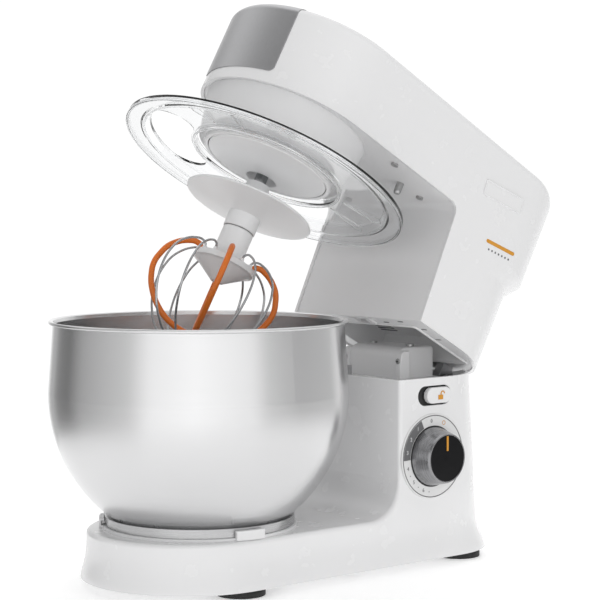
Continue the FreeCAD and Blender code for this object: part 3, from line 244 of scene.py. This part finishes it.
# ---------------------------------------------------------------------------
# Where things are: millimetres from the bowl's axis, with the head down
# ---------------------------------------------------------------------------
MM = 0.001
bowl_low, bowl_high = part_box("bowl")
AXIS_Y = (bowl_low[1] + bowl_high[1]) / 2
JOINTS = {joint["name"]: joint for joint in frame["joints"]}
HINGE = Vector(JOINTS["head_tilt"]["pos_m"])
TILT = math.radians(JOINTS["head_tilt"]["range_deg"][0])
ON_STAND = Matrix.Translation((0, AXIS_Y, 0)) @ Matrix.Scale(MM, 4)
ON_HEAD = (Matrix.Translation(HINGE) @ Matrix.Rotation(TILT, 4, "X") @ Matrix.Translation(-HINGE)) @ ON_STAND
TOOL_OFFSET = 32.0
TOOL_TURN = math.radians(145.8)
TOOL_AXIS = (TOOL_OFFSET * math.cos(TOOL_TURN), TOOL_OFFSET * math.sin(TOOL_TURN), 0)
ON_TOOL = ON_HEAD @ Matrix.Translation(TOOL_AXIS)


def side_face(group, x, y, z, lean=0.0):
    """Local X runs back along the +X side, local Y up, local Z straight out of it."""
    axes = Matrix(((0, 0, 1, x), (1, 0, 0, y), (0, 1, 0, z), (0, 0, 0, 1)))
    return group @ axes @ Matrix.Rotation(math.radians(lean), 4, "Z")


# ---------------------------------------------------------------------------
# Mesh builders for the detail pieces
# ---------------------------------------------------------------------------
def mesh_object(name, vertices, faces, material):
    mesh = bpy.data.meshes.new(name)
    mesh.from_pydata(vertices, [], faces)
    mesh.update()
    mesh.materials.append(material)
    made = bpy.data.objects.new(name, mesh)
    bpy.context.scene.collection.objects.link(made)
    return made


def piece(name, parts, place, material, body, bevel=0.0):
    """One named detail from several (vertices, faces) parts, put in place and hung on its body."""
    vertices, faces = [], []
    for part_vertices, part_faces in parts:
        base = len(vertices)
        vertices += [place @ Vector(vertex) for vertex in part_vertices]
        faces += [[base + index for index in face] for face in part_faces]
    made = mesh_object(name, vertices, faces, material)
    work = bmesh.new()
    work.from_mesh(made.data)
    bmesh.ops.recalc_face_normals(work, faces=work.faces)
    work.to_mesh(made.data)
    work.free()
    made.data.polygons.foreach_set("use_smooth", [True] * len(made.data.polygons))
    made.data.set_sharp_from_angle(angle=math.radians(35))
    if bevel:
        rounding = made.modifiers.new("edges", "BEVEL")
        rounding.width = bevel * MM
        rounding.segments = 2
        rounding.limit_method = "ANGLE"
        rounding.angle_limit = math.radians(40)
    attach(made, body)
    return made


def lathe(profile, start=0.0, sweep=360.0, steps=96, centre=(0, 0)):
    """A closed (radius, height) outline turned about Z, with end caps on a part turn."""
    full = sweep >= 360
    rings = steps if full else steps + 1
    count = len(profile)
    vertices, faces = [], []
    for ring in range(rings):
        turn = math.radians(start + sweep * ring / steps)
        for radius, height in profile:
            vertices.append((centre[0] + radius * math.cos(turn), centre[1] + radius * math.sin(turn),
                             height))
    for ring in range(steps):
        here, following = ring * count, ((ring + 1) % rings) * count
        for i in range(count):
            j = (i + 1) % count
            faces.append((here + i, here + j, following + j, following + i))
    if not full:
        faces += [tuple(range(count)), tuple(range((rings - 1) * count, rings * count))]
    return vertices, faces


def prism(outline, low, high):
    """A flat outline in local X and Y, from height low to height high."""
    count = len(outline)
    vertices = [(x, y, low) for x, y in outline] + [(x, y, high) for x, y in outline]
    faces = [tuple(range(count)), tuple(range(count, 2 * count))]
    for i in range(count):
        j = (i + 1) % count
        faces.append((i, j, count + j, count + i))
    return vertices, faces


def rounded_box(width, height, corner, centre=(0, 0), steps=6):
    """Outline of a rectangle with round corners."""
    outline = []
    for quarter, (sx, sy) in enumerate(((1, 1), (-1, 1), (-1, -1), (1, -1))):
        for step in range(steps + 1):
            turn = math.pi / 2 * (quarter + step / steps)
            outline.append((centre[0] + sx * (width / 2 - corner) + corner * math.cos(turn),
                            centre[1] + sy * (height / 2 - corner) + corner * math.sin(turn)))
    return outline


def frame_strip(outer, inner, low, high):
    """A flat frame between two outlines that have the same number of points."""
    count = len(outer)
    loops = [[(x, y, low) for x, y in outer], [(x, y, high) for x, y in outer],
             [(x, y, high) for x, y in inner], [(x, y, low) for x, y in inner]]
    vertices = [vertex for loop in loops for vertex in loop]
    faces = []
    for loop in range(4):
        following = (loop + 1) % 4
        for i in range(count):
            j = (i + 1) % count
            faces.append((loop * count + i, loop * count + j, following * count + j, following * count + i))
    return vertices, faces


def digit(text, size, height):
    """A generic numeral as a thin solid, centred on the origin and lying in local X and Y."""
    curve = bpy.data.curves.new("digit", "FONT")
    curve.body = text
    curve.size = size
    curve.align_x = "CENTER"
    curve.align_y = "CENTER"
    curve.extrude = height / 2
    curve.resolution_u = 3
    source = bpy.data.objects.new("digit", curve)
    mesh = bpy.data.meshes.new_from_object(source)
    part = ([tuple(vertex.co) for vertex in mesh.vertices], [tuple(face.vertices) for face in mesh.polygons])
    bpy.data.objects.remove(source)
    bpy.data.curves.remove(curve)
    bpy.data.meshes.remove(mesh)
    return part


def shifted(part, x=0, y=0, z=0):
    return [(vx + x, vy + y, vz + z) for vx, vy, vz in part[0]], part[1]


# ---------------------------------------------------------------------------
# Speed dial: outline, dark sector and numerals round the knob
# ---------------------------------------------------------------------------
knob_pos = JOINTS["knob_turn"]["pos_m"]
KNOB_Y, KNOB_Z = (knob_pos[1] - AXIS_Y) / MM, knob_pos[2] / MM
DIAL_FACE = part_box("dial_ring")[1][0] / MM
DIAL = side_face(ON_STAND, DIAL_FACE, KNOB_Y, KNOB_Z)
MARK_RADIUS = 27.8
NUMBER_TURNS = (94, 126, 148, 170, 196, 222, 248)
DOT_TURNS = (209, 235, 261)
PULSE_TURN = 66


def dial_details():
    piece("dial_outline", [lathe([(31.5, -0.02), (32.2, -0.02), (32.2, 0.1), (31.5, 0.1)])], DIAL, PRINT_AND_SHADE_GREY,
          "stand")
    # A flat dark ring round the knob: painted shadow in the gap between knob and dial
    piece("dial_gap_painted_shadow", [lathe([(22.6, -0.02), (24.0, -0.02), (23.8, 0.12), (22.6, 0.12)])], DIAL, DARK_AND_SHADE,
          "stand")
    piece("dial_sector", [lathe([(24.3, -0.02), (31.2, -0.02), (31.2, 0.09), (24.3, 0.09)], 114, 68, 32)],
          DIAL, PRINT_AND_SHADE_GREY, "stand")
    pale, dark = [], []
    radius = MARK_RADIUS
    for number, turn in enumerate(NUMBER_TURNS):
        angle = math.radians(turn)
        target = pale if 114 < turn < 182 else dark
        numeral = digit(str(number), 4.2, 0.12)
        target.append(shifted(numeral, radius * math.cos(angle), radius * math.sin(angle), 0.1))
    for turn in DOT_TURNS:
        angle = math.radians(turn)
        dark.append(lathe([(0, 0), (0.45, 0), (0.45, 0.1), (0, 0.1)], steps=12,
                          centre=(radius * math.cos(angle), radius * math.sin(angle))))
    piece("dial_numbers_dark", dark, DIAL, PRINT_AND_SHADE_GREY, "stand")
    piece("dial_numbers_pale", pale, DIAL, WHITE, "stand")
    pulse = math.radians(PULSE_TURN)
    ring = lathe([(1.3, 0), (1.75, 0), (1.75, 0.1), (1.3, 0.1)], steps=24,
                 centre=(radius * math.cos(pulse), radius * math.sin(pulse)))
    piece("dial_pulse_mark", [ring], DIAL, GOLD_INK, "stand")
    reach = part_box("knob_face")[1][0] / MM
    rim = side_face(ON_STAND, reach, KNOB_Y, KNOB_Z)
    profile = [(18.05, -0.9), (18.95, -0.9), (19.05, -0.3), (18.8, 0.2), (18.3, 0.25), (18.05, 0)]
    piece("knob_rim", [lathe(profile)], rim, BRIGHT_RIM, "speed_knob")


dial_details()


# ---------------------------------------------------------------------------
# Print and plate on the head's side
# ---------------------------------------------------------------------------
def side_details():
    plate = side_face(ON_HEAD, 77.0, 170, 277, 8)
    outer, inner = rounded_box(45.6, 12.6, 1.9), rounded_box(43.6, 10.6, 1.1)
    piece("badge_frame", [frame_strip(outer, inner, -0.05, 0.35)], plate, WHITE, "head", 0.12)
    print_place = side_face(ON_HEAD, 76.3, 187, 240, 8)
    piece("side_print_orange", [prism(rounded_box(34, 3.0, 1.4), -0.02, 0.08)], print_place, GOLD_INK,
          "head")
    dots = [lathe([(0, -0.02), (0.9, -0.02), (0.9, 0.07), (0, 0.07)], steps=16, centre=(-12 + 4 * index, -6))
            for index in range(7)]
    piece("side_print_dots", dots, print_place, PRINT_AND_SHADE_GREY, "head")


side_details()


# ---------------------------------------------------------------------------
# Under the neck: latch window, slits, air louvres, with painted shade in them; hinge posts on the column
# ---------------------------------------------------------------------------
NECK_UNDER = 151.0
POCKET_ROOF = 171.0
SLIT_PLACES = ((-46, 146), (-26, 149), (25, 149), (44, 146), (60, 158), (60, 176), (-60, 158), (-60, 176))
POST_X = 31.6


def screw_part(radius, height):
    """Pan head, standing on local Z."""
    return lathe([(0, 0), (radius, 0), (radius, height * 0.45), (radius * 0.86, height * 0.85),
                  (radius * 0.5, height), (0, height)], steps=32)


def cross_part(radius, height):
    """A dark cross on top of a pan head: painted shade for its cross recess."""
    arm, half = radius * 0.6, radius * 0.13
    outline = [(half, half), (arm, half), (arm, -half), (half, -half), (half, -arm), (-half, -arm),
               (-half, -half), (-arm, -half), (-arm, half), (-half, half), (-half, arm), (half, arm)]
    return prism(outline, height - 0.02, height + 0.06)


def neck_details():
    # A dark plate inside the latch window: painted shade for the hollow behind it
    shade = prism(rounded_box(13.6, 7.6, 0.6, (0, 146.4)), NECK_UNDER + 3.4, NECK_UNDER + 4.0)
    piece("latch_window_painted_shade", [shade], ON_HEAD, DARK_AND_SHADE, "head")
    # Flat grey patches for the slits: painted shade standing in for the openings
    slits = [prism(rounded_box(6, 1.6, 0.7, centre), NECK_UNDER - 0.15, NECK_UNDER + 0.4)
             for centre in SLIT_PLACES]
    piece("neck_slits_painted_shade", slits, ON_HEAD, PRINT_AND_SHADE_GREY, "head")
    # Flat grey patches for the air louvres: painted shade standing in for the openings
    louvres = []
    for side in (-1, 1):
        for row in range(7):
            louvres.append(prism(rounded_box(20, 1.7, 0.8, (side * 41, 186 + 4.2 * row)), POCKET_ROOF - 0.35,
                                 POCKET_ROOF + 0.3))
    piece("neck_louvres_painted_shade", louvres, ON_HEAD, PRINT_AND_SHADE_GREY, "head")
    lip_outer, lip_inner = rounded_box(110, 69, 4, (0, 187)), rounded_box(107, 66, 3, (0, 187))
    piece("pocket_lip", [frame_strip(lip_outer, lip_inner, NECK_UNDER - 1.2, NECK_UNDER + 0.6)], ON_HEAD,
          WHITE_MATT, "head", 0.3)


def hinge_posts():
    low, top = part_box("hinge_cover")[0][2] / MM + 2.4, 165.5
    posts, screws, crosses = [], [], []
    for side in (-1, 1):
        outline = [(173.4, low - 0.5), (184, low - 0.5), (184, top), (177.5, top), (175, top - 2.5),
                   (173.4, top - 12)]
        half = 3.2
        vertices = [(side * POST_X + across, y, z) for across in (-half, half) for y, z in outline]
        count = len(outline)
        faces = [tuple(range(count)), tuple(range(count, 2 * count))]
        faces += [(i, (i + 1) % count, count + (i + 1) % count, count + i) for i in range(count)]
        posts.append((vertices, faces))
        for part, target in ((screw_part(2.3, 1.0), screws), (cross_part(2.3, 1.0), crosses)):
            turned = [(side * POST_X + x, 173.9 - z, 157.5 + y) for x, y, z in part[0]]
            target.append((turned, part[1]))
    piece("hinge_posts", posts, ON_STAND, WHITE_MATT, "stand", 0.7)
    piece("hinge_post_screws", screws, ON_STAND, SCREW, "stand")
    # Dark crosses on the screw heads: painted shade for the recesses
    piece("hinge_post_recess_shade", crosses, ON_STAND, DARK_AND_SHADE, "stand")


neck_details()
hinge_posts()


# ---------------------------------------------------------------------------
# Hub, tool, whisk and splash guard
# ---------------------------------------------------------------------------
HUB_LOW = 207.9
SLEEVE_LOW = 161.7
FLANGE_TOP = 135.2
LOOP_ENDS, LOOP_END_RADIUS, FIRST_LOOP_TURN = 12, 21.9, 236


def hub_details():
    low = HUB_LOW
    collar = [(49.0, low + 4.6), (49.0, low + 0.9), (49.5, low + 0.2), (50.8, low), (52.2, low + 0.5),
              (52.6, low + 1.4), (52.6, low + 4.6)]
    piece("hub_collar", [lathe(collar, steps=128)], ON_HEAD, WHITE, "head")
    lining = [(12.85, low + 0.15), (12.95, low + 7.9), (5.4, low + 7.9), (5.4, low + 6.6), (10.6, low + 6.4),
              (11.7, low + 5.2), (12.0, low + 1.0), (12.3, low + 0.15)]
    piece("hub_socket_lining", [lathe(lining, steps=64)], ON_TOOL, HUB_GREY, "hub")


def tool_details():
    low = SLEEVE_LOW
    piece("sleeve_band", [lathe([(6, low + 0.08), (12.5, low + 0.08), (12.6, low + 0.24), (12.5, low + 0.42),
                                 (6, low + 0.42)], steps=64)], ON_TOOL, SCREW, "tool")
    top = FLANGE_TOP
    ferrules = []
    for index in range(LOOP_ENDS):
        turn = math.radians(FIRST_LOOP_TURN + 360 / LOOP_ENDS * index)
        silicone_covered = index % 3 == 0
        radius = 3.1 if silicone_covered else 1.9
        ferrules.append(lathe([(0.92, top - 0.3), (radius, top - 0.3), (radius * 0.92, top + 1.6),
                               (radius * 0.7, top + 2.2), (0.92, top + 2.2)], steps=24,
                              centre=(LOOP_END_RADIUS * math.cos(turn), LOOP_END_RADIUS * math.sin(turn))))
    piece("wire_ferrules", ferrules, ON_TOOL, TOOL_WHITE, "whisk")


def bead(radius, height, size, points=10):
    """Closed round outline for a bead that runs round the guard."""
    turns = [2 * math.pi * i / points for i in range(points)]
    return [(radius + size * math.cos(turn), height + size * math.sin(turn)) for turn in turns]


FIN_TURNS = (58, 80, 302, 280)


def guard_details():
    rims = [lathe(bead(112.6, 200.4, 0.9), steps=160), lathe(bead(99.3, 202.4, 0.7), steps=160),
            lathe(bead(60.2, 206.6, 0.9), steps=128)]
    piece("guard_beads", rims, ON_HEAD, CLEAR, "head")
    fins = []
    for turn in FIN_TURNS:
        angle = math.radians(turn)
        along = Vector((math.cos(angle), math.sin(angle), 0))
        across = Vector((-math.sin(angle), math.cos(angle), 0))
        corners = [(64, 207.5), (95.5, 207.5), (98.5, 204.6), (92, 203.4)]
        vertices = []
        for half in (-0.7, 0.7):
            vertices += [tuple(along * reach + across * half + Vector((0, 0, height)))
                         for reach, height in corners]
        faces = [(0, 1, 2, 3), (4, 5, 6, 7)] + [(i, (i + 1) % 4, 4 + (i + 1) % 4, 4 + i) for i in range(4)]
        fins.append((vertices, faces))
    piece("guard_fins", fins, ON_HEAD, CLEAR, "head", 0.2)


hub_details()
tool_details()
guard_details()


# ---------------------------------------------------------------------------
# Floor, light and camera
# ---------------------------------------------------------------------------
def area_light(name, place, aim, width, height, power):
    data = bpy.data.lights.new(name, "AREA")
    data.shape = "RECTANGLE"
    data.size = width
    data.size_y = height
    data.energy = power
    light = bpy.data.objects.new(name, data)
    light.location = place
    light.rotation_euler = (Vector(aim) - Vector(place)).to_track_quat("-Z", "Y").to_euler()
    bpy.context.scene.collection.objects.link(light)


def studio_floor():
    """A round white table top under the mixer, small so that the bowl mirrors the walls."""
    reach, sides = 0.5, 96
    colour = plastic("floor_white", (0.97, 0.97, 0.97), 0.6, grain=300.0, depth=0.02, tint=0.004,
                     Emission_Color=(1, 1, 1, 1), Emission_Strength=0.3)
    turns = [2 * math.pi * index / sides for index in range(sides)]
    corners = [(reach * math.cos(turn), reach * math.sin(turn), 0) for turn in turns]
    floor = mesh_object("floor", corners, [tuple(range(sides))], colour)


# brightness round the studio by compass direction: degrees from +X toward +Y, and level
WALLS = [(-180, 0.40), (-170, 0.26), (-154, 0.20), (-138, 0.44), (-114, 0.60), (-92, 0.76), (-74, 1.22),
         (-40, 1.38), (4, 1.1), (18, 0.72), (46, 0.5), (84, 0.6), (98, 0.95), (106, 1.04), (158, 1.04),
         (168, 0.5)]
UPPER_WALLS = [(-180, 1.0), (-154, 0.9), (-112, 0.42), (-76, 0.22), (-56, 0.28), (-34, 0.5), (0, 0.8),
               (50, 0.9), (100, 1.05), (165, 1.05)]
CEILING = 1.0


def studio_walls():
    """Soft boxes and dark flags round the mixer as one smooth environment."""
    world = bpy.data.worlds.new("studio")
    world.use_nodes = True
    tree = world.node_tree
    background = tree.nodes["Background"]

    def node(kind, **values):
        made = tree.nodes.new(kind)
        for key, value in values.items():
            setattr(made, key, value)
        return made

    axes = node("ShaderNodeSeparateXYZ")
    tree.links.new(node("ShaderNodeTexCoord").outputs["Generated"], axes.inputs[0])
    turn = node("ShaderNodeMath", operation="ARCTAN2")
    tree.links.new(axes.outputs["Y"], turn.inputs[0])
    tree.links.new(axes.outputs["X"], turn.inputs[1])
    share = node("ShaderNodeMath", operation="MULTIPLY_ADD")
    share.inputs[1].default_value = 1 / (2 * math.pi)
    share.inputs[2].default_value = 0.5
    tree.links.new(turn.outputs[0], share.inputs[0])

    def ramp_of(table):
        ramp = node("ShaderNodeValToRGB")
        tree.links.new(share.outputs[0], ramp.inputs[0])
        stops = ramp.color_ramp.elements
        for index, (degrees, level) in enumerate(table):
            place = (degrees + 180) / 360
            stop = stops[index] if index < 2 else stops.new(place)
            stop.position = place
            stop.color = (level / 2, level / 2, level / 2, 1)
        return ramp.outputs["Color"]

    def blend_up(low, high, start, end):
        rise = node("ShaderNodeMapRange", interpolation_type="SMOOTHSTEP")
        rise.inputs["From Min"].default_value = start
        rise.inputs["From Max"].default_value = end
        tree.links.new(axes.outputs["Z"], rise.inputs["Value"])
        mix = node("ShaderNodeMix", data_type="RGBA")
        tree.links.new(rise.outputs["Result"], mix.inputs[0])
        tree.links.new(low, mix.inputs[6])
        if isinstance(high, float):
            mix.inputs[7].default_value = (high / 2, high / 2, high / 2, 1)
        else:
            tree.links.new(high, mix.inputs[7])
        return mix.outputs[2]

    walls = blend_up(ramp_of(WALLS), ramp_of(UPPER_WALLS), 0.28, 0.55)
    tree.links.new(blend_up(walls, CEILING, 0.78, 0.95), background.inputs["Color"])
    background.inputs["Strength"].default_value = 2.0
    bpy.context.scene.world = world


CAMERA_PLACE = (1.0788, -0.9142, 0.2865)
CAMERA_AZIMUTH, CAMERA_DIP = 50.1, 3.2
CAMERA_SENSOR, CAMERA_LENS = 36.0, 107.94


def studio_camera():
    """The photograph's viewpoint, solved from its outlines."""
    azimuth, dip = math.radians(CAMERA_AZIMUTH), math.radians(CAMERA_DIP)
    data = bpy.data.cameras.new("camera")
    data.sensor_width = CAMERA_SENSOR
    data.lens = CAMERA_LENS
    camera = bpy.data.objects.new("camera", data)
    camera.location = CAMERA_PLACE
    look = Vector((-math.sin(azimuth) * math.cos(dip), math.cos(azimuth) * math.cos(dip), -math.sin(dip)))
    camera.rotation_euler = look.to_track_quat("-Z", "Y").to_euler()
    bpy.context.scene.collection.objects.link(camera)
    bpy.context.scene.camera = camera


studio_floor()
studio_walls()
area_light("top", (-0.3, 0.4, 2.4), (0, 0, 0.22), 2.2, 2.2, 3)
bpy.context.scene.view_settings.view_transform = "Standard"
studio_camera()
